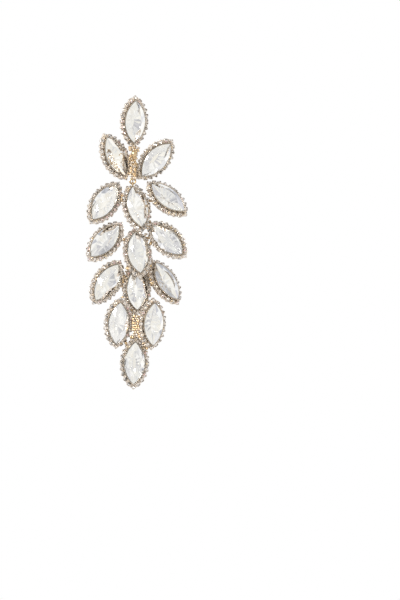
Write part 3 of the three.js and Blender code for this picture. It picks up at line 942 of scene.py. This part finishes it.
def drop_frame():
    """Twelve settings, the back wires, the strip above the bottom leaf and the lower eye."""
    build = Build()
    own = [leaf for leaf in leaves if leaf.body == "drop"]
    for leaf in own:
        build.add(*setting(leaf), PLATE_METAL)
    back_wires(build, own)
    upper, lower = leaf_named("row3_middle"), leaf_named("bottom")
    top = (upper.matrix @ Vector((0, LEAF_MIDDLE, -upper.ring_tip))).z - PIECE_GAP
    bottom = (lower.matrix @ Vector((0, LEAF_MIDDLE, lower.ring_tip))).z + PIECE_GAP
    left, right = LINK_X - LINK_BAR / 2, LINK_X + LINK_BAR / 2
    bar = [(left, top), (right, top), (right, bottom), (left, bottom)]
    build.add(*prism(bar, (STRIP_FRONT_Y + STRIP_BACK_Y) / 2, BACK_WIRE_Y), PLATE_METAL)
    left, right = LINK_X - STRIP_WIDTH / 2, LINK_X + STRIP_WIDTH / 2
    strip = [
        (left - SHOULDER, top + SHOULDER / 2),
        (right + SHOULDER, top + SHOULDER / 2),
        (right, top - SHOULDER),
        (right, bottom),
        (left, bottom),
        (left, top - SHOULDER),
    ]
    build.add(*prism(strip, STRIP_FRONT_Y, STRIP_BACK_Y), GRAIN_METAL)
    grains(build, strip, STRIP_FRONT_Y, STRIP_ROWS, (STRIP_SPARE, STRIP_SPARE))
    build.add(*torus(drop_eye, EYE_RADIUS, EYE_WIRE, (1, 0, 0)), BRIGHT_METAL)
    solder(build, "drop")
    fill(build, "drop", [dense(strip, STRIP_FRONT_Y)], FILL_GAP_DROP)
    return build


def ear_post():
    """The post, with a groove near its rounded end."""
    stations = POST_FOOT + [(share, POST_LENGTH - short) for share, short in POST_TIP]
    build = Build()
    build.add(*bands([
        [(x, y, -z) for x, z in circle(POST_RADIUS * share, POST_SIDES)]
        for share, y in stations
    ]))
    return build


def neck_ring():
    """The round ring that joins the two eyes."""
    build = Build()
    middle = (hinge + drop_eye) / 2
    build.add(*torus(middle, NECK_RING_RADIUS, RING_WIRE, (0, 1, 0), around=36, sides=14))
    return build


here = Matrix.Identity(4)
stud_frame().piece("stud_metal", here, METALS, "stud", "gold", "stud_frame")
drop_frame().piece("drop_metal", here, METALS, "drop", "gold", "drop_frame")
ear_post().piece("round_post", here, [WIRE_GOLD], "stud", "gold", "ear_post")
neck_ring().piece("round_neck_ring", here, [GOLD], "drop", "gold", "neck_ring")


# Stage, light and camera
def make_camera():
    """A long lens straight at the front, with the object where the photograph has it."""
    data = bpy.data.cameras.new("camera")
    data.sensor_width = SENSOR
    data.lens = SENSOR * CAMERA_DISTANCE / (PHOTO_HEIGHT * PIXEL)
    data.clip_start, data.clip_end = 0.01, 10
    camera = bpy.data.objects.new("camera", data)
    x = (PHOTO_WIDTH / 2 - TOP_PIXEL[0]) * PIXEL
    z = -(PHOTO_HEIGHT / 2 - TOP_PIXEL[1]) * PIXEL
    camera.location = (x, -CAMERA_DISTANCE, z)
    camera.rotation_euler = (math.pi / 2, 0, 0)
    bpy.context.scene.collection.objects.link(camera)
    bpy.context.scene.camera = camera


def make_floor():
    """A pale round floor some way under the object."""
    mesh = bpy.data.meshes.new("floor")
    edge = [(x, y, 0) for x, y in circle(FLOOR_RADIUS, FLOOR_STEPS)]
    mesh.from_pydata(edge, [], [tuple(range(FLOOR_STEPS))])
    material, _, _ = new_material("floor", base_color=(0.9, 0.9, 0.9, 1), roughness=0.6)
    mesh.materials.append(material)
    floor = bpy.data.objects.new("floor", mesh)
    floor.location = (0, 0, FLOOR_Z)
    bpy.context.scene.collection.objects.link(floor)


def area_light(name, place, size, power, colour):
    """A soft box that points at the middle of the object."""
    data = bpy.data.lights.new(name, "AREA")
    data.shape = "RECTANGLE"
    data.size, data.size_y = size
    data.energy = power
    data.color = colour
    light = bpy.data.objects.new(name, data)
    light.location = place
    light.rotation_euler = (LIGHT_TARGET - Vector(place)).to_track_quat("-Z", "Y").to_euler()
    bpy.context.scene.collection.objects.link(light)


def make_world():
    """A white tent: bright all round, with soft grey, lilac and cream stretches."""
    world = bpy.data.worlds.new("tent")
    bpy.context.scene.world = world
    world.use_nodes = True
    tree = world.node_tree
    background = tree.nodes["Background"]
    coordinates = tree.nodes.new("ShaderNodeTexCoord")
    texture = tree.nodes.new("ShaderNodeTexNoise")
    texture.inputs["Scale"].default_value = TENT_SCALE
    texture.inputs["Detail"].default_value = TENT_DETAIL
    tree.links.new(coordinates.outputs["Generated"], texture.inputs["Vector"])
    stretches = ramp(tree, texture.outputs["Fac"], TENT_STRETCHES)
    path = tree.nodes.new("ShaderNodeLightPath")
    mix = tree.nodes.new("ShaderNodeMix")
    mix.data_type = "RGBA"
    tree.links.new(path.outputs["Is Camera Ray"], mix.inputs["Factor"])
    tree.links.new(stretches, mix.inputs["A"])
    mix.inputs["B"].default_value = (1, 1, 1, 1)
    tree.links.new(mix.outputs["Result"], background.inputs["Color"])
    background.inputs["Strength"].default_value = 1.0


make_camera()
make_floor()
make_world()
area_light("key", (-0.6, -0.5, 0.25), (0.22, 0.22), 3.4, (1, 0.99, 0.97))
bpy.context.scene.view_settings.view_transform = "Standard"
